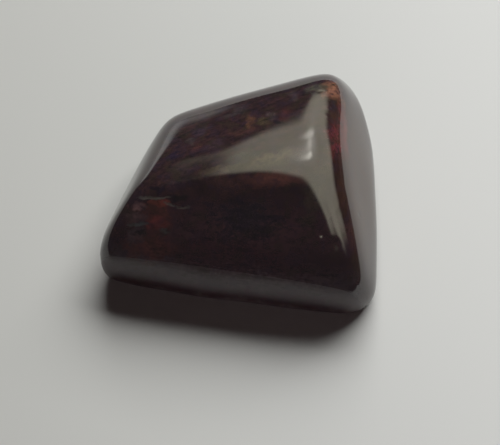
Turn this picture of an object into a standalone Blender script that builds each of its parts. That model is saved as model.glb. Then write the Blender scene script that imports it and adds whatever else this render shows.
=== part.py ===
"""Ruby crystal: one tumbled, polished stone that rests on its flat base.

The stone is a block of ground facets whose edges have been worn round. It is
modelled at its real size, in metres, with +Z up, and its origin is the middle
of the flat base.
"""

import math

import bmesh
import bpy
from mathutils import Vector

MM = 0.001

# A facet faces a compass direction (degrees, 0 is +X, 90 is +Y) and leans back
# from level by its slope (degrees). Lengths are in millimetres.

HEART = Vector((0.0, 10.0, 4.5))
PEAK = Vector((6.1, 10.0, 11.4))
FRONT_POINT = Vector((6.1, 10.0, 11.25))

# The crown: two broad facets that meet on a ridge, and the steep right side
UPPER_LEFT_FACING = 125.0
UPPER_LEFT_SLOPE = 23.0
FRONT_FACING = -99.3
FRONT_SLOPE = 33.0

# Each side is a facet above a girdle and an undercut facet below it.
# facing, slope above, slope below, reach from the heart, height of the girdle
# The skirt is the steep band under the front facet, and the corner its right end.
SKIRT = (-99.3, 68.5, 116.0, 9.51, 1.7)
CORNER = (-48.0, 74.0, 110.0, 15.22, 1.4)
RIGHT = (0.0, 66.0, 105.0, 12.80, 1.2)
BACK_RIGHT = (33.0, 62.0, 112.0, 15.41, 3.4)
BACK_MIDDLE = (72.0, 62.0, 112.0, 15.49, 3.4)
BACK = (109.0, 61.0, 112.0, 10.33, 3.4)
LEFT = (155.0, 66.0, 112.0, 9.72, 3.4)
LEFT_END = (186.0, 70.0, 112.0, 13.28, 2.6)

# Wear: a larger sharpness (per millimetre) gives a tighter edge
EDGE_SHARPNESS = 2.6
PEAK_SHARPNESS = 0.75
SHARPNESS_GAIN_PER_MM = 0.12
PEAK_RADIUS = 1.2
FACET_RADIUS = 250.0

# Slow unevenness left by tumbling: direction, wavelength, height, phase
WAVES = (
    (Vector((1.0, 0.3, 0.2)), 8.3, 0.020, 0.4),
    (Vector((-0.4, 1.0, 0.5)), 6.7, 0.018, 2.1),
    (Vector((0.3, -0.5, 1.0)), 5.9, 0.014, 4.0),
    (Vector((1.0, -0.8, 0.6)), 4.9, 0.010, 1.3),
)

# The starting block and its grid
BLOCK_HALF = Vector((12.5, 11.0, 5.4))
COLUMNS = 40
ROWS = 34
LAYERS = 14

# The flat that the stone rests on is ground this far into its underside
BASE_CUT = 0.15

STONE_COLOUR = (0.060, 0.022, 0.024, 1.0)
STONE_ROUGHNESS = 0.16


def clear_scene():
    for obj in list(bpy.data.objects):
        bpy.data.objects.remove(obj, do_unlink=True)


def facing_vector(facing, slope):
    turn = math.radians(facing)
    lean = math.radians(slope)
    return Vector(
        (
            math.cos(turn) * math.sin(lean),
            math.sin(turn) * math.sin(lean),
            math.cos(lean),
        )
    )


def facet(facing, slope, point, doming=0.5 / FACET_RADIUS):
    """A facet as its outward direction, distance from the heart and doming."""
    outward = facing_vector(facing, slope)
    return outward, outward.dot(point - HEART), doming


def side_facets(side):
    facing, slope_above, slope_below, reach, girdle = side
    turn = math.radians(facing)
    corner = Vector(
        (
            HEART.x + reach * math.cos(turn),
            HEART.y + reach * math.sin(turn),
            girdle,
        )
    )
    return facet(facing, slope_above, corner), facet(facing, slope_below, corner)


def height_above(shape_facet, offset):
    """How far a point lies outside a facet, whose face is very slightly domed."""
    outward, distance, doming = shape_facet
    along = outward.dot(offset)
    across_squared = offset.length_squared - along * along
    return along - distance + across_squared * doming


def soft_maximum(values, sharpness):
    largest = max(values)
    total = sum(math.exp((value - largest) * sharpness) for value in values)
    return largest + math.log(total) / sharpness


def unevenness(point):
    height = 0.0
    for direction, wavelength, size, phase in WAVES:
        turns = direction.normalized().dot(point) / wavelength
        height += size * math.sin(2.0 * math.pi * turns + phase)
    return height


def make_stone_field():
    """A function that is negative inside the worn stone and positive outside."""
    right_above, right_below = side_facets(RIGHT)
    crown = (
        facet(UPPER_LEFT_FACING, UPPER_LEFT_SLOPE, PEAK),
        facet(FRONT_FACING, FRONT_SLOPE, FRONT_POINT),
        right_above,
    )
    others = [
        right_below,
        facet(0.0, 180.0, Vector((0.0, 0.0, 0.0)), doming=0.0),
    ]
    for side in (SKIRT, CORNER, BACK_RIGHT, BACK_MIDDLE, BACK, LEFT, LEFT_END):
        others.extend(side_facets(side))

    def field(point):
        offset = point - HEART
        from_peak = math.hypot(point.x - PEAK.x, point.y - PEAK.y, PEAK_RADIUS)
        gain = 1.0 + SHARPNESS_GAIN_PER_MM * from_peak
        crown_height = soft_maximum(
            [height_above(item, offset) for item in crown],
            PEAK_SHARPNESS * gain,
        )
        heights = [height_above(item, offset) for item in others]
        heights.append(crown_height)
        return soft_maximum(heights, EDGE_SHARPNESS) + unevenness(point)

    return field


def surface_point(field, direction):
    """The point where a ray from the heart leaves the stone."""
    near = 0.0
    far = 30.0
    for _ in range(44):
        middle = (near + far) / 2.0
        if field(HEART + direction * middle) < 0.0:
            near = middle
        else:
            far = middle
    return HEART + direction * near


def cut_edges_along(mesh, axis, pieces):
    edges = [
        edge
        for edge in mesh.edges
        if abs((edge.verts[0].co - edge.verts[1].co)[axis]) > 0.5
    ]
    bmesh.ops.subdivide_edges(
        mesh, edges=edges, cuts=pieces - 1, use_grid_fill=True
    )


def make_block():
    mesh = bmesh.new()
    bmesh.ops.create_cube(mesh, size=2.0)
    cut_edges_along(mesh, 0, COLUMNS)
    cut_edges_along(mesh, 1, ROWS)
    cut_edges_along(mesh, 2, LAYERS)
    return mesh


def wear_to_stone(mesh):
    field = make_stone_field()
    for vert in mesh.verts:
        direction = Vector(
            (
                vert.co.x * BLOCK_HALF.x,
                vert.co.y * BLOCK_HALF.y,
                vert.co.z * BLOCK_HALF.z,
            )
        ).normalized()
        vert.co = surface_point(field, direction)


def grind_base_flat(mesh):
    geometry = mesh.verts[:] + mesh.edges[:] + mesh.faces[:]
    bmesh.ops.bisect_plane(
        mesh,
        geom=geometry,
        dist=0.0001,
        plane_co=(0.0, 0.0, BASE_CUT),
        plane_no=(0.0, 0.0, 1.0),
        clear_inner=True,
    )
    rim = [edge for edge in mesh.edges if edge.is_boundary]
    for vert in {vert for edge in rim for vert in edge.verts}:
        vert.co.z = BASE_CUT
    bmesh.ops.holes_fill(mesh, edges=rim, sides=0)
    bmesh.ops.recalc_face_normals(mesh, faces=mesh.faces[:])


def centre_over_origin(mesh):
    low = [min(vert.co[axis] for vert in mesh.verts) for axis in range(3)]
    high = [max(vert.co[axis] for vert in mesh.verts) for axis in range(3)]
    middle = Vector(((low[0] + high[0]) / 2.0, (low[1] + high[1]) / 2.0, low[2]))
    bmesh.ops.translate(mesh, verts=mesh.verts[:], vec=-middle)
    bmesh.ops.scale(mesh, verts=mesh.verts[:], vec=(MM, MM, MM))


def stone_material():
    material = bpy.data.materials.new("polished_ruby")
    material.use_nodes = True
    shader = material.node_tree.nodes["Principled BSDF"]
    shader.inputs["Base Color"].default_value = STONE_COLOUR
    shader.inputs["Roughness"].default_value = STONE_ROUGHNESS
    shader.inputs["Metallic"].default_value = 0.0
    return material


def make_ruby():
    block = make_block()
    wear_to_stone(block)
    grind_base_flat(block)
    centre_over_origin(block)
    data = bpy.data.meshes.new("ruby")
    block.to_mesh(data)
    block.free()
    data.shade_smooth()
    data.materials.append(stone_material())
    ruby = bpy.data.objects.new("ruby", data)
    bpy.context.scene.collection.objects.link(ruby)
    return ruby


clear_scene()
make_ruby()
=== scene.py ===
"""A tumbled, polished ruby stone resting on a pale floor in soft studio light."""

import math

import bpy
from mathutils import Euler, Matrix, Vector


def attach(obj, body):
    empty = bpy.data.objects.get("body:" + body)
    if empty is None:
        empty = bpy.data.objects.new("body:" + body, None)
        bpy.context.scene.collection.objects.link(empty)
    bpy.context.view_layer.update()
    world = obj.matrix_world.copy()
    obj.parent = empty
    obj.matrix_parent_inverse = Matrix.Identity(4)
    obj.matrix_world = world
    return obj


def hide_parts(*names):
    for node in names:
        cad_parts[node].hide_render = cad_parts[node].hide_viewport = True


MM = 0.001

# Camera: where it looks on the floor, how high it stands and how far away
AIM = Vector((0.948, -1.651, -0.15)) * MM
CAMERA_HEIGHT_DEGREES = 60.0
CAMERA_DISTANCE = 230.0 * MM
FRAME_WIDTH = 45.0 * MM
SENSOR_WIDTH = 36.0
CAMERA_CLIP = (0.01, 20.0)

# The window that shows in the stone's gloss, as limits on a direction's parts.
# Each pair is where an edge starts and where it is full.
WINDOW_LEFT = (-0.335, -0.25)
# The sill climbs to the right, and has a step at the left
SILL_HEIGHT = 0.30
SILL_CLIMB = 0.335
SILL_CLIMB_ACROSS = (-0.25, 0.60)
SILL_STEP = 0.075
SILL_STEP_ACROSS = (-0.17, -0.205)
SILL_RISE = 0.16
SILL_RISE_FORWARD = (-0.12, -0.40)
SILL_SOFTNESS = 0.07
SILL_SOFTNESS_CLIMB = 0.17
# The front edge leans, and a corner of the window reaches further forward
FRONT_LEAN = 1.3
WINDOW_FRONT = (-0.22, -0.06)
WINDOW_END = (-0.50, -0.40)
CORNER_LEAN = 0.30
CORNER_LEFT = (-0.07, -0.01)
CORNER_FRONT_LEAN = 0.55
CORNER_FRONT = (-0.63, -0.53)
WINDOW_BRIGHTNESS = 1.1
WINDOW_GAIN = 0.4
WINDOW_GAIN_ACROSS = (-0.25, -0.12)
WINDOW_COLOUR = (1.0, 0.95, 0.77)

# Lamps in the room: across and back, half width and half depth, as parts of a
# direction, a turn in degrees, then how soft and how bright each lamp is
LAMPS = (
    (-0.03, 0.50, 0.13, 0.50, 14.0, 1.0, 2.0),
    (-0.060, 0.60, 0.078, 0.34, 14.0, 1.0, 2.4),
    (-0.074, 0.56, 0.038, 0.34, 13.0, 1.0, 4.3),
    (-0.118, 0.77, 0.075, 0.11, 13.0, 0.8, 4.0),
    (-0.008, 0.32, 0.021, 0.10, 15.0, 0.7, 6.8),
)
LAMP_COLOUR = (1.0, 0.97, 0.86)
# The lamps show only above this height, and are as tall as the room
LAMPS_UP = (0.2, 0.3)
LAMP_HALF_HEIGHT = 1000.0
ROOM_COLOUR = (0.085, 0.076, 0.084)
# A pale glow low down behind the stone at the left
GLOW_COLOUR = (0.95, 0.96, 0.94)
GLOW_LEFT = (-0.22, -0.36)
GLOW_BACK = (0.68, 0.84)
GLOW_UP = (0.16, 0.08)

# Lights on the floor: turn and height in degrees, then distance, width and depth
# in metres, and power in watts
KEY_LIGHT = (70.0, 38.0, 0.6, 0.58, 0.31, 5.0)
KEY_COLOUR = (1.0, 1.0, 1.0)
FILL_LIGHT = (-90.0, 20.0, 1.0, 1.0, 0.4, 0.7)
FILL_COLOUR = (1.0, 0.73, 0.77)

FLOOR_WIDTH = 3.0
FLOOR_ROUGHNESS = 0.9
# Painted light on the floor: its colour is darker at the left and brighter at the right,
# where more light falls
FLOOR_SHADED_LEFT_COLOUR = (0.63, 0.636, 0.60)
FLOOR_LIT_RIGHT_COLOUR = (0.86, 0.87, 0.84)
FLOOR_PAINTED_LIGHT_ACROSS = (-0.04, 0.04)
# Bare floor round the stone inside the dark cloth: left, right, front and back,
# in metres as the cloth's half width and lift are
CLEAR_FLOOR = (-1.35, 0.038, -0.036, 1.35)
CLOTH_HALF = 1.4
CLOTH_LIFT = 0.0001
CLOTH_COLOUR = (0.12, 0.11, 0.115)

# Ruby, with every place and size in millimetres
RUBY_IOR = 1.77
GLOSS_ROUGHNESS = 0.05
WEAR_ROUGHNESS = 0.05
SKIRT_ROUGHNESS = 0.3
# The stone grew in thin, nearly level layers: their tilt in degrees and flatness
LAYER_TILT = (13.6, -2.3, 0.0)
LAYER_FLATNESS = (1.0, 1.0, 0.13)
# Patterns: scale, detail, roughness and distortion
STREAKS = (0.55, 5.0, 0.62, 0.6)
GRAINS = (2.6, 4.0, 0.62, 0.3)
BLOTCHES = (1.1, 3.0, 0.55, 0.4)
WEAR = (1.8, 3.0, 0.6, 0.2)
HUE_DRIFT = (0.95, 2.0, 0.55, 0.4)
# The drift of hue is shifted by this, so that it goes its own way
HUE_DRIFT_PLACE = (7.0, 3.0, 5.0)
# How much of the body colour comes from streaks, grains and blotches
BODY_MIX = (0.5, 0.3, 0.2)
# How much of the colours' tone comes from streaks and grains, and its contrast
TONE_MIX = (0.55, 0.45)
TONE_CONTRAST = 4.0
# How far the edges of zones wander: scale of the pattern, then millimetres
ZONE_WANDER = (0.9, 1.8)
CRACK_WANDER = (2.2, 0.35)
# How much the streaks break up a zone's edge, and where the edge fades
ZONE_RAGGEDNESS = 1.5
ZONE_EDGE = (1.3, 0.4)
# From the darkest grain to the palest
BODY_COLOURS = (
    (0.30, (0.013, 0.008, 0.009)),
    (0.42, (0.019, 0.009, 0.010)),
    (0.52, (0.026, 0.011, 0.012)),
    (0.62, (0.033, 0.014, 0.013)),
    (0.76, (0.050, 0.025, 0.020)),
)
VIOLET = (0.026, 0.015, 0.030)
VIOLET_DRIFT = (0.50, 0.64)
VIOLET_STRENGTH = 0.32
OLIVE = (0.030, 0.021, 0.011)
OLIVE_DRIFT = (0.48, 0.34)
OLIVE_STRENGTH = 0.4
# Zones of other colours, a few of them painted light or a painted reflection: middle, turn,
# half size, colour, strength
COLOUR_AND_PAINTED_LIGHT_ZONES = (
    # the front facet, purple-brown, and painted paler to make up for the little light that
    # falls on it
    ((0.0, -6.5, 7.0), (-33.0, 0.0, 0.0), (12.5, 3.9, 3.0), (0.068, 0.029, 0.034), 0.75),
    # the skirt, grey-purple
    ((0.0, -10.6, 3.0), (-68.0, 0.0, -9.3), (14.0, 3.2, 2.0), (0.042, 0.010, 0.020), 0.9),
    # painted reflection: a pale stripe just above the skirt's crease, standing in for the
    # floor's gleam along its top edge
    ((-0.7, -9.30, 4.4), (-33.0, 0.0, -8.5), (15.0, 1.2, 2.0), (0.080, 0.056, 0.062), 0.85),
    # painted light: paler under the skirt, lifting the shade of its undercut
    ((0.8, -11.2, 0.9), (0.0, 0.0, -9.3), (14.0, 1.2, 0.9), (0.150, 0.120, 0.120), 0.8),
    # dark maroon above the skirt
    ((-1.0, -8.5, 5.7), (-33.0, 0.0, -9.3), (11.0, 0.9, 2.0), (0.052, 0.016, 0.020), 0.8),
    # blue-black heart of the front facet
    ((0.6, -5.7, 7.5), (-33.0, 0.0, -8.0), (3.4, 1.7, 2.0), (0.016, 0.015, 0.022), 0.7),
    # red-brown under the ridge
    ((3.0, -2.9, 9.3), (0.0, 0.0, 0.0), (2.8, 0.8, 2.0), (0.110, 0.040, 0.030), 0.8),
    ((-0.6, -3.2, 8.9), (0.0, 0.0, 8.0), (2.2, 0.8, 2.0), (0.060, 0.026, 0.022), 0.6),
    # red and rust at the left
    ((-7.0, -5.1, 7.1), (-20.0, 0.0, -6.0), (1.5, 1.1, 2.5), (0.110, 0.033, 0.024), 0.75),
    ((-6.9, -4.2, 7.6), (0.0, 0.0, -4.0), (1.0, 0.4, 1.5), (0.220, 0.050, 0.034), 0.85),
    ((-7.3, -5.6, 6.8), (0.0, 0.0, 0.0), (1.1, 0.5, 1.5), (0.160, 0.034, 0.030), 0.8),
    ((-7.7, -7.3, 5.4), (-33.0, 0.0, -8.0), (2.6, 0.7, 1.5), (0.130, 0.042, 0.032), 0.8),
    # pinkish patches beside it
    ((-8.8, -4.4, 7.2), (0.0, 0.0, -10.0), (0.9, 0.5, 1.5), (0.190, 0.100, 0.095), 0.85),
    ((-9.1, -5.2, 6.7), (0.0, 0.0, -10.0), (0.9, 0.5, 1.5), (0.120, 0.066, 0.068), 0.8),
    ((-9.0, -6.3, 6.0), (0.0, 0.0, 0.0), (0.9, 0.7, 1.5), (0.085, 0.060, 0.066), 0.7),
    # black spots between the rust and the ridge, and below
    ((-7.2, -3.1, 8.1), (0.0, 0.0, -3.0), (1.5, 0.33, 1.5), (0.010, 0.005, 0.009), 0.9),
    ((-5.2, -3.9, 7.9), (0.0, 0.0, -6.0), (1.1, 0.4, 1.5), (0.009, 0.005, 0.009), 0.9),
    ((-8.6, -6.2, 6.2), (0.0, 0.0, 0.0), (0.55, 0.35, 1.0), (0.010, 0.005, 0.007), 0.8),
    # the upper left facet: an orange patch, and olive and red ones round it
    ((1.0, 3.8, 8.4), (0.0, 0.0, 4.0), (0.45, 1.2, 2.0), (0.095, 0.042, 0.024), 0.8),
    ((0.1, 2.4, 8.6), (0.0, 0.0, 12.0), (1.4, 0.5, 2.0), (0.068, 0.027, 0.023), 0.8),
    ((2.1, 3.5, 8.7), (0.0, 0.0, 0.0), (0.6, 0.55, 2.0), (0.056, 0.040, 0.020), 0.8),
    ((4.1, 4.3, 8.8), (0.0, 0.0, 0.0), (0.6, 0.9, 2.0), (0.052, 0.015, 0.015), 0.8),
    ((3.2, 3.4, 9.0), (0.0, 0.0, 10.0), (0.6, 0.3, 2.0), (0.008, 0.006, 0.008), 0.8),
    # grey and violet flecks on it
    ((2.9, 4.2, 8.6), (0.0, 0.0, 0.0), (0.45, 0.6, 2.0), (0.060, 0.047, 0.048), 0.5),
    ((-0.3, 5.3, 7.5), (0.0, 0.0, 27.0), (1.4, 0.45, 2.0), (0.048, 0.040, 0.037), 0.6),
    ((4.8, 6.4, 8.1), (0.0, 0.0, 0.0), (0.5, 0.9, 2.0), (0.060, 0.043, 0.046), 0.6),
    ((-3.5, 3.4, 7.3), (0.0, 0.0, 20.0), (1.0, 0.8, 2.0), (0.044, 0.030, 0.046), 0.5),
    ((-3.7, 1.2, 8.0), (0.0, 0.0, 0.0), (0.7, 0.6, 2.0), (0.070, 0.024, 0.022), 0.6),
    ((-2.2, 1.2, 8.3), (0.0, 0.0, 10.0), (0.8, 0.7, 2.0), (0.054, 0.031, 0.038), 0.5),
    ((-4.2, 2.1, 7.7), (0.0, 0.0, 15.0), (0.6, 0.4, 2.0), (0.070, 0.055, 0.050), 0.5),
    ((-5.9, 0.4, 8.0), (0.0, 0.0, 15.0), (0.9, 0.6, 2.0), (0.014, 0.008, 0.022), 0.8),
    ((-5.1, -1.5, 8.5), (0.0, 0.0, 12.0), (1.5, 0.5, 2.0), (0.030, 0.017, 0.018), 0.6),
    # ochre and olive along the ridge
    ((-1.7, -1.7, 9.1), (0.0, 0.0, 5.0), (2.0, 0.4, 1.5), (0.085, 0.060, 0.036), 0.7),
    ((0.4, -0.5, 9.5), (0.0, 0.0, 10.0), (1.5, 0.8, 1.5), (0.050, 0.050, 0.038), 0.6),
    ((2.6, -1.05, 9.7), (0.0, 0.0, 12.0), (3.0, 0.75, 1.5), (0.105, 0.084, 0.046), 0.7),
    # beige down the ridge at the right
    ((7.0, -2.5, 8.8), (0.0, 0.0, 72.0), (4.5, 0.9, 2.5), (0.060, 0.044, 0.030), 0.7),
    # rust, brown, crimson and purple down the edge at the right
    ((8.2, 6.9, 8.4), (0.0, 0.0, 0.0), (0.85, 1.3, 2.0), (0.250, 0.110, 0.065), 0.95),
    ((9.0, 5.6, 8.3), (0.0, 0.0, 0.0), (0.35, 1.0, 1.5), (0.160, 0.060, 0.035), 0.6),
    ((8.3, 4.9, 9.0), (0.0, 0.0, 0.0), (0.45, 0.5, 1.5), (0.022, 0.014, 0.020), 0.9),
    ((8.4, 3.6, 9.3), (0.0, 0.0, 0.0), (0.5, 0.9, 1.5), (0.040, 0.020, 0.015), 0.9),
    ((8.5, 0.9, 9.6), (0.0, 0.0, 0.0), (0.8, 2.3, 1.5), (0.125, 0.022, 0.028), 0.95),
    ((8.5, -1.2, 9.4), (0.0, 0.0, 0.0), (0.5, 0.9, 1.5), (0.030, 0.009, 0.008), 0.9),
    ((8.7, -3.4, 8.7), (0.0, 0.0, 0.0), (0.5, 1.2, 1.5), (0.042, 0.020, 0.011), 0.9),
    ((9.4, -5.4, 7.5), (0.0, 0.0, -20.0), (0.7, 1.2, 1.5), (0.013, 0.008, 0.013), 0.9),
    # beige and reddish on the right facet
    ((10.6, 0.0, 5.8), (0.0, 66.0, 0.0), (5.0, 9.0, 1.5), (0.052, 0.020, 0.007), 0.85),
    ((9.2, 2.4, 8.6), (0.0, 0.0, 0.0), (0.4, 2.8, 1.5), (0.150, 0.026, 0.020), 0.9),
    # the top corner, grey-green
    ((6.9, 7.2, 8.3), (0.0, 0.0, 0.0), (1.0, 0.8, 1.5), (0.085, 0.082, 0.058), 0.75),
)
# Dark pits on the right facet: middle, turn, half size, colour, strength
PITS = (
    ((10.5, -4.25, 5.8), (0.0, 66.0, 0.0), (0.45, 0.22, 0.5), (0.010, 0.009, 0.008), 0.9),
    ((12.1, -3.0, 1.9), (0.0, 66.0, 0.0), (0.35, 0.28, 0.5), (0.020, 0.012, 0.010), 0.8),
    ((11.6, 6.1, 2.8), (0.0, 66.0, 0.0), (0.5, 0.25, 0.5), (0.030, 0.014, 0.010), 0.8),
)
# Cracks filled with grey: middle, turn, half size, colour, strength
CRACKS = (
    ((-8.1, -3.7, 7.7), (0.0, 0.0, -9.0), (0.8, 0.17, 1.5), (0.130, 0.120, 0.100), 0.7),
    ((-6.8, -3.8, 7.9), (0.0, 0.0, 3.0), (0.9, 0.10, 1.5), (0.120, 0.112, 0.090), 0.8),
    ((-5.9, -4.4, 7.6), (0.0, 0.0, -20.0), (0.65, 0.11, 1.5), (0.110, 0.105, 0.090), 0.8),
    ((-4.8, -4.65, 7.6), (0.0, 0.0, 2.0), (0.7, 0.10, 1.5), (0.100, 0.085, 0.070), 0.8),
    ((-8.8, -5.65, 6.4), (0.0, 0.0, 0.0), (0.9, 0.15, 1.0), (0.085, 0.100, 0.095), 0.7),
    ((-6.4, -6.3, 6.4), (0.0, 0.0, -18.0), (0.5, 0.18, 1.0), (0.080, 0.090, 0.085), 0.7),
)
CRACK_DEPTH = 0.02
PIT_DEPTH = 0.02
# The skirt lies furthest out in this direction: where it starts, its lowest part,
# how often and how far its crease is smoothed, and where its duller surface begins
SKIRT_OUTWARD = Vector((-0.1616, -0.9868, 0.0))
SKIRT_START = 8.7
SKIRT_LOW = 0.5
SKIRT_SMOOTHING = 12
SMOOTHING_STEP = 0.5
SKIRT_DULL = (9.05, 9.35)
# Where the stone is worn hollow, or stands proud where the depth is negative:
# middle, turn, half size, depth
HOLLOWS = (
    # along the ridge
    ((-2.9, -1.4, 8.9), (0.0, 0.0, 0.0), (4.2, 4.2, 4.2), -0.045),
    # a chip at the foot of the front facet, with a nick beside it
    ((8.15, -7.85, 6.7), (-33.0, 0.0, -20.0), (1.1, 0.75, 1.0), 0.018),
    ((7.3, -7.15, 7.1), (-33.0, 0.0, 0.0), (0.5, 0.3, 0.55), 0.038),
    # pocks at the top corner
    ((6.6, 7.2, 8.4), (0.0, 0.0, 0.0), (0.6, 0.5, 0.7), 0.004),
    ((7.2, 6.8, 8.6), (0.0, 0.0, 0.0), (0.5, 0.4, 0.7), 0.007),
)
# The flat base: how low its faces lie, and the two rings inset in it
BASE_LEVEL = 0.01
BASE_RINGS = (0.2, 0.5)
# Points nearer than this are merged. Triangles that meet within these angles, in
# degrees, are joined to quads, which are then halved this often.
MERGE_DISTANCE = 0.0005
QUAD_FACE_ANGLE = 40.0
QUAD_SHAPE_ANGLE = 70.0
SUBDIVISIONS = 2
# Where the mesh is made finer for the small hollows: low and high corners
FINE_AREAS = (
    ((-10.2, -7.2, 5.2), (-3.6, -2.8, 9.0)),
    ((6.7, -9.0, 5.8), (9.5, -6.7, 7.8)),
)


class Socket:
    """A node's output socket, so that sums of sockets add Math nodes."""

    def __init__(self, graph, socket):
        self.graph = graph
        self.socket = socket

    def __add__(self, other):
        return self.graph.math("ADD", self, other)

    def __radd__(self, other):
        return self.graph.math("ADD", other, self)

    def __sub__(self, other):
        return self.graph.math("SUBTRACT", self, other)

    def __rsub__(self, other):
        return self.graph.math("SUBTRACT", other, self)

    def __mul__(self, other):
        return self.graph.math("MULTIPLY", self, other)

    def __rmul__(self, other):
        return self.graph.math("MULTIPLY", other, self)

    def __truediv__(self, other):
        return self.graph.math("DIVIDE", self, other)


class Graph:
    """The nodes of one material or world."""

    def __init__(self, tree):
        self.tree = tree

    def add(self, kind, settings=None, values=None, output=0):
        """Adds a node with its settings first, then its values and links."""
        node = self.tree.nodes.new(kind)
        for name, value in (settings or {}).items():
            if name == "stops":
                self.set_stops(node.color_ramp, value)
            else:
                setattr(node, name, value)
        for name, value in (values or {}).items():
            if isinstance(value, Socket):
                self.tree.links.new(value.socket, node.inputs[name])
            else:
                node.inputs[name].default_value = value
        return Socket(self, node.outputs[output])

    def set_stops(self, ramp, stops):
        while len(ramp.elements) < len(stops):
            ramp.elements.new(1.0)
        for element, (position, colour) in zip(ramp.elements, stops):
            element.position = position
            element.color = (*colour, 1.0)

    def math(self, operation, *operands):
        values = dict(enumerate(operands))
        return self.add("ShaderNodeMath", {"operation": operation}, values)

    def step(self, value, low, high):
        """0 below low and 1 above high, smooth between. low may be the larger."""
        settings = {"interpolation_type": "SMOOTHSTEP"}
        if low < high:
            values = {"Value": value, "From Min": low, "From Max": high}
            return self.add("ShaderNodeMapRange", settings, values)
        values = {"Value": value, "From Min": high, "From Max": low}
        return 1.0 - self.add("ShaderNodeMapRange", settings, values)

    def mix(self, factor, first, second):
        settings = {"data_type": "RGBA"}
        values = {0: factor, 6: first, 7: second}
        return self.add("ShaderNodeMix", settings, values, output=2)

    def vector(self, operation, first, second):
        settings = {"operation": operation}
        return self.add("ShaderNodeVectorMath", settings, {0: first, 1: second})

    def grey(self, value):
        """One value as a vector's three parts."""
        return self.add("ShaderNodeCombineXYZ", None, {0: value, 1: value, 2: value})

    def split(self, place):
        """A vector's three parts."""
        kind = "ShaderNodeSeparateXYZ"
        first = self.add(kind, None, {0: place})
        return [Socket(self, output) for output in first.socket.node.outputs]

    def noise(self, place, scale, detail=2.0, roughness=0.5, distortion=0.0):
        values = {
            "Vector": place,
            "Scale": scale,
            "Detail": detail,
            "Roughness": roughness,
            "Distortion": distortion,
        }
        return self.add("ShaderNodeTexNoise", None, values)

    def turned(self, place, centre, turn, size):
        """Coordinates centred, turned and measured in units of size."""
        values = {
            "Vector": place,
            "Location": centre,
            "Rotation": [math.radians(angle) for angle in turn],
            "Scale": size,
        }
        return self.add("ShaderNodeMapping", {"vector_type": "TEXTURE"}, values)

    def length(self, place):
        settings = {"operation": "LENGTH"}
        return self.add("ShaderNodeVectorMath", settings, {0: place}, output=1)


def rgba(colour):
    return (*colour, 1.0)


def deselect_all():
    for obj in bpy.context.selected_objects:
        obj.select_set(False)


def make_active(obj):
    deselect_all()
    obj.select_set(True)
    bpy.context.view_layer.objects.active = obj


def select_faces(obj, wanted):
    """Selects the faces of an object, in edit mode, that a test picks."""
    bpy.ops.object.mode_set(mode="EDIT")
    bpy.ops.mesh.select_mode(type="FACE")
    bpy.ops.mesh.select_all(action="DESELECT")
    bpy.ops.object.mode_set(mode="OBJECT")
    for polygon in obj.data.polygons:
        polygon.select = wanted(polygon)
    bpy.ops.object.mode_set(mode="EDIT")


def apply_modifier(obj, kind, **settings):
    modifier = obj.modifiers.new(kind.lower(), kind)
    for name, value in settings.items():
        setattr(modifier, name, value)
    bpy.ops.object.modifier_apply(modifier=modifier.name)


def copy_of_node(node, name):
    """A new piece from a copy of a node's mesh, with its double points merged."""
    piece = bpy.data.objects.new(name, node.data.copy())
    bpy.context.scene.collection.objects.link(piece)
    make_active(piece)
    bpy.ops.mesh.customdata_custom_splitnormals_clear()
    bpy.ops.object.mode_set(mode="EDIT")
    bpy.ops.mesh.select_all(action="SELECT")
    bpy.ops.mesh.remove_doubles(threshold=MERGE_DISTANCE * MM)
    bpy.ops.object.mode_set(mode="OBJECT")
    return piece


def hollow_out(mesh, middle, turn, half_size, depth):
    """Moves the surface in along its normals inside a soft-edged ellipsoid."""
    turned = Euler([math.radians(angle) for angle in turn]).to_matrix().transposed()
    middle = Vector(middle) * MM
    reach = max(half_size) * MM
    moves = []
    for vertex in mesh.vertices:
        offset = vertex.co - middle
        if offset.length > reach:
            continue
        offset = turned @ offset
        parts = [part / (half * MM) for part, half in zip(offset, half_size)]
        fade = max(0.0, 1.0 - Vector(parts).length)
        fade = fade * fade * (3.0 - 2.0 * fade)
        moves.append((vertex, vertex.normal * (-depth * MM * fade)))
    for vertex, move in moves:
        vertex.co += move


def in_fine_area(place):
    """Whether a place lies in one of the areas with a finer mesh."""
    for low, high in FINE_AREAS:
        if all(low[axis] * MM < place[axis] < high[axis] * MM for axis in range(3)):
            return True
    return False


def on_skirt(face):
    """Whether a face lies on the skirt or on the crease over it."""
    outward = SKIRT_OUTWARD.dot(face.center)
    return outward > SKIRT_START * MM and face.center.z > SKIRT_LOW * MM


def make_stone(node):
    """The stone as a smooth mesh of quads, with its low relief."""
    stone = copy_of_node(node, "polished_stone")
    select_faces(stone, lambda face: face.center.z < BASE_LEVEL * MM)
    bpy.ops.mesh.dissolve_faces()
    for ring in BASE_RINGS:
        bpy.ops.mesh.inset(thickness=ring * MM, use_even_offset=False)
    bpy.ops.mesh.select_all(action="INVERT")
    bpy.ops.mesh.tris_convert_to_quads(
        face_threshold=math.radians(QUAD_FACE_ANGLE),
        shape_threshold=math.radians(QUAD_SHAPE_ANGLE),
    )
    bpy.ops.object.mode_set(mode="OBJECT")
    apply_modifier(stone, "SUBSURF", levels=SUBDIVISIONS, render_levels=SUBDIVISIONS)
    select_faces(stone, lambda face: in_fine_area(face.center))
    bpy.ops.mesh.subdivide(number_cuts=1)
    bpy.ops.object.mode_set(mode="OBJECT")
    select_faces(stone, on_skirt)
    bpy.ops.mesh.vertices_smooth(factor=SMOOTHING_STEP, repeat=SKIRT_SMOOTHING)
    bpy.ops.object.mode_set(mode="OBJECT")
    for hollow in HOLLOWS:
        hollow_out(stone.data, *hollow)
    for marks, depth in ((CRACKS, CRACK_DEPTH), (PITS, PIT_DEPTH)):
        for middle, turn, half_size, _, _ in marks:
            hollow_out(stone.data, middle, turn, half_size, depth)
    bpy.ops.object.shade_smooth()
    return stone


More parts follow.
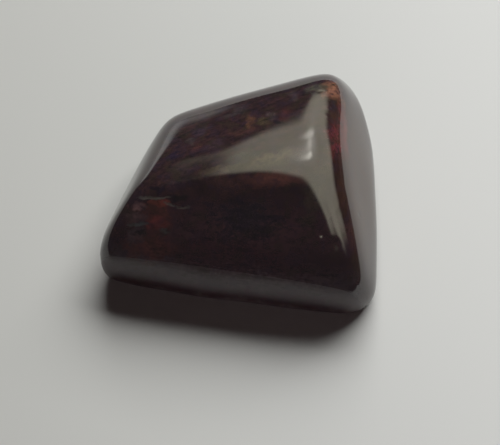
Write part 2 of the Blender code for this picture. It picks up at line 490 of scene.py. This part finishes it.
def wander(graph, place, scale, reach):
    """The place, moved about by a soft pattern."""
    pattern = graph.add("ShaderNodeTexNoise", None, {"Vector": place, "Scale": scale}, 1)
    pattern = graph.vector("SUBTRACT", pattern, (0.5, 0.5, 0.5))
    return graph.vector("ADD", place, graph.vector("MULTIPLY", pattern, (reach,) * 3))


def paint_zones(graph, colour, place, streaks, zones):
    """Lays zones over a colour, with edges that the streaks break up."""
    for centre, turn, half_size, tint, strength in zones:
        away = graph.length(graph.turned(place, centre, turn, half_size))
        mask = graph.step(away + streaks * ZONE_RAGGEDNESS, *ZONE_EDGE) * strength
        colour = graph.mix(mask, colour, rgba(tint))
    return colour


def ruby_colour(graph, place):
    """Streaked dark red-brown, with zones (a few of them painted light or reflection),
    cracks, pits and a slow drift of hue.
    """
    layers = graph.turned(place, (0.0, 0.0, 0.0), LAYER_TILT, LAYER_FLATNESS)
    streaks = graph.noise(layers, *STREAKS)
    grains = graph.noise(place, *GRAINS)
    blotches = graph.noise(place, *BLOTCHES)
    body = streaks * BODY_MIX[0] + grains * BODY_MIX[1] + blotches * BODY_MIX[2]
    colour = graph.add("ShaderNodeValToRGB", {"stops": BODY_COLOURS}, {"Fac": body})
    broken = streaks + grains - 1.0
    # The tone is about 1 on average, and gives the zones the stone's grain too
    tone = (streaks * TONE_MIX[0] + grains * TONE_MIX[1]) * TONE_CONTRAST
    tone = graph.grey(tone - (TONE_CONTRAST / 2.0 - 1.0))
    zone_place = wander(graph, place, *ZONE_WANDER)
    colour = paint_zones(graph, colour, zone_place, broken, COLOUR_AND_PAINTED_LIGHT_ZONES)
    colour = graph.vector("MULTIPLY", colour, tone)
    crack_place = wander(graph, place, *CRACK_WANDER)
    colour = paint_zones(graph, colour, crack_place, broken, CRACKS + PITS)

    hue = graph.noise(graph.vector("ADD", place, HUE_DRIFT_PLACE), *HUE_DRIFT)
    violet = graph.step(hue, *VIOLET_DRIFT) * VIOLET_STRENGTH
    olive = graph.step(hue, *OLIVE_DRIFT) * OLIVE_STRENGTH
    colour = graph.mix(violet, colour, rgba(VIOLET))
    return graph.mix(olive, colour, rgba(OLIVE))


def ruby_material():
    """Glossy ruby, a little worn everywhere and duller on the skirt."""
    material = bpy.data.materials.new("polished_ruby")
    material.use_nodes = True
    tree = material.node_tree
    graph = Graph(tree)
    shader = tree.nodes["Principled BSDF"]
    coordinates = graph.add("ShaderNodeTexCoord", output=3)
    place = graph.vector("MULTIPLY", coordinates, (1.0 / MM,) * 3)
    across, back = graph.split(place)[:2]
    colour = ruby_colour(graph, place)
    wear = graph.noise(place, *WEAR)
    outward = across * SKIRT_OUTWARD.x + back * SKIRT_OUTWARD.y
    skirt = graph.step(outward, *SKIRT_DULL)
    roughness = GLOSS_ROUGHNESS + WEAR_ROUGHNESS * wear + SKIRT_ROUGHNESS * skirt
    tree.links.new(colour.socket, shader.inputs["Base Color"])
    tree.links.new(roughness.socket, shader.inputs["Roughness"])
    shader.inputs["IOR"].default_value = RUBY_IOR
    return material


def lit_side(graph, across, back, up):
    """Where the soft window shows in a direction: 1 inside it and 0 outside."""
    left = graph.step(across, *WINDOW_LEFT)
    climb = graph.step(across, *SILL_CLIMB_ACROSS)
    height = climb * SILL_CLIMB + graph.step(across, *SILL_STEP_ACROSS) * SILL_STEP
    height = height + graph.step(back, *SILL_RISE_FORWARD) * climb * SILL_RISE
    softness = climb * SILL_SOFTNESS_CLIMB + SILL_SOFTNESS
    sill = graph.step((up - height - SILL_HEIGHT) / softness, -0.5, 0.5)
    front = graph.step(back + across * FRONT_LEAN, *WINDOW_FRONT)
    front = front * graph.step(back, *WINDOW_END)
    corner = graph.step(across + back * CORNER_LEAN, *CORNER_LEFT)
    corner = corner * graph.step(back - across * CORNER_FRONT_LEAN, *CORNER_FRONT)
    return left * sill * graph.math("MAXIMUM", front, corner)


def make_world():
    """The room that shows in the stone's gloss and lights nothing else."""
    world = bpy.data.worlds.new("soft_room")
    bpy.context.scene.world = world
    world.use_nodes = True
    world.cycles_visibility.diffuse = False
    tree = world.node_tree
    graph = Graph(tree)
    direction = graph.add("ShaderNodeTexCoord", output=0)
    across, back, up = graph.split(direction)
    window = lit_side(graph, across, back, up)
    above = graph.step(up, *LAMPS_UP)
    gain = graph.step(across, *WINDOW_GAIN_ACROSS) * WINDOW_GAIN
    bright = graph.vector("MULTIPLY", WINDOW_COLOUR, graph.grey(gain + WINDOW_BRIGHTNESS))
    glow_edge = graph.step(across, *GLOW_LEFT) * graph.step(back, *GLOW_BACK)
    low_glow = glow_edge * graph.step(up, *GLOW_UP)
    colour = graph.mix(low_glow, rgba(ROOM_COLOUR), rgba(GLOW_COLOUR))
    colour = graph.mix(window, colour, bright)
    for lamp in LAMPS:
        lamp_across, lamp_back, half_width, half_depth, turn, soft, brightness = lamp
        offset = graph.turned(
            direction,
            (lamp_across, lamp_back, 0.0),
            (0.0, 0.0, turn),
            (half_width, half_depth, LAMP_HALF_HEIGHT),
        )
        shine = graph.step(graph.length(offset), 1.0, 1.0 - soft) * above * window
        glow = tuple(brightness * channel for channel in LAMP_COLOUR)
        colour = graph.mix(shine, colour, rgba(glow))
    background = tree.nodes["Background"]
    tree.links.new(colour.socket, background.inputs["Color"])


def add_light(name, turn, height, distance, width, depth, power, colour):
    """A soft rectangular light that faces the stone and shows in no reflection."""
    data = bpy.data.lights.new(name, "AREA")
    data.shape = "RECTANGLE"
    data.size = width
    data.size_y = depth
    data.energy = power
    data.color = colour
    turn = math.radians(turn)
    height = math.radians(height)
    away = Vector(
        (
            math.cos(height) * math.cos(turn),
            math.cos(height) * math.sin(turn),
            math.sin(height),
        )
    )
    light = bpy.data.objects.new(name, data)
    light.location = away * distance
    light.rotation_euler = away.to_track_quat("Z", "Y").to_euler()
    light.visible_glossy = False
    bpy.context.scene.collection.objects.link(light)


def make_floor():
    """A pale floor, with painted light that makes it darker at the left and brighter at the
    right.
    """
    bpy.ops.mesh.primitive_plane_add(size=FLOOR_WIDTH)
    floor = bpy.context.object
    floor.name = "floor"
    material = bpy.data.materials.new("pale_floor")
    material.use_nodes = True
    graph = Graph(material.node_tree)
    shader = material.node_tree.nodes["Principled BSDF"]
    coordinates = graph.add("ShaderNodeTexCoord", output=3)
    across = graph.split(coordinates)[0]
    # painted light: the floor's colour goes from shaded at the left to lit at the right
    tone = graph.step(across, *FLOOR_PAINTED_LIGHT_ACROSS)
    colour = graph.mix(tone, rgba(FLOOR_SHADED_LEFT_COLOUR), rgba(FLOOR_LIT_RIGHT_COLOUR))
    material.node_tree.links.new(colour.socket, shader.inputs["Base Color"])
    shader.inputs["Roughness"].default_value = FLOOR_ROUGHNESS
    shader.inputs["Specular IOR Level"].default_value = 0.0
    floor.data.materials.append(material)


def make_dark_surround():
    """A dark cloth round the floor's middle, seen only in the stone's gloss."""
    deselect_all()
    bpy.ops.mesh.primitive_plane_add(size=2.0 * CLOTH_HALF, location=(0.0, 0.0, CLOTH_LIFT))
    surround = bpy.context.object
    surround.name = "dark_surround"
    left, right, front, back = CLEAR_FLOOR
    bpy.ops.object.mode_set(mode="EDIT")
    for place, normal in (
        ((left, 0.0, 0.0), (1.0, 0.0, 0.0)),
        ((right, 0.0, 0.0), (1.0, 0.0, 0.0)),
        ((0.0, front, 0.0), (0.0, 1.0, 0.0)),
        ((0.0, back, 0.0), (0.0, 1.0, 0.0)),
    ):
        bpy.ops.mesh.select_all(action="SELECT")
        bpy.ops.mesh.bisect(plane_co=place, plane_no=normal)
    bpy.ops.object.mode_set(mode="OBJECT")
    select_faces(
        surround,
        lambda face: left < face.center.x < right and front < face.center.y < back,
    )
    bpy.ops.mesh.delete(type="FACE")
    bpy.ops.object.mode_set(mode="OBJECT")
    material = bpy.data.materials.new("dark_cloth")
    material.use_nodes = True
    shader = material.node_tree.nodes["Principled BSDF"]
    shader.inputs["Base Color"].default_value = rgba(CLOTH_COLOUR)
    shader.inputs["Roughness"].default_value = 1.0
    shader.inputs["Specular IOR Level"].default_value = 0.0
    surround.data.materials.append(material)
    surround.visible_camera = False
    surround.visible_diffuse = False
    surround.visible_shadow = False


def make_camera():
    """A camera in front of the stone that looks down at it."""
    height = math.radians(CAMERA_HEIGHT_DEGREES)
    away = Vector((0.0, -math.cos(height), math.sin(height)))
    data = bpy.data.cameras.new("camera")
    data.sensor_fit = "HORIZONTAL"
    data.sensor_width = SENSOR_WIDTH
    data.lens = SENSOR_WIDTH * CAMERA_DISTANCE / FRAME_WIDTH
    data.clip_start, data.clip_end = CAMERA_CLIP
    camera = bpy.data.objects.new("camera", data)
    camera.location = AIM + away * CAMERA_DISTANCE
    camera.rotation_euler = (math.pi / 2.0 - height, 0.0, 0.0)
    bpy.context.scene.collection.objects.link(camera)
    bpy.context.scene.camera = camera


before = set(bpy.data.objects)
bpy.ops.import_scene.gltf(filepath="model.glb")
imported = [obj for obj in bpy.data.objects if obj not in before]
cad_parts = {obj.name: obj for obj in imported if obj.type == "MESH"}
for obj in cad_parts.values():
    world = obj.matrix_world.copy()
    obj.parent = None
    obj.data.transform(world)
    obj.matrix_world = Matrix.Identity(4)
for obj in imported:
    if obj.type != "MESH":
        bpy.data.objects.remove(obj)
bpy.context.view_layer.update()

stone = make_stone(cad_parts["ruby"])
stone.data.materials.clear()
stone.data.materials.append(ruby_material())
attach(stone, "root")
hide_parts("ruby")

make_floor()
make_dark_surround()
make_world()
add_light("key_light", *KEY_LIGHT, KEY_COLOUR)
add_light("fill_light", *FILL_LIGHT, FILL_COLOUR)
make_camera()
bpy.context.scene.view_settings.view_transform = "Standard"
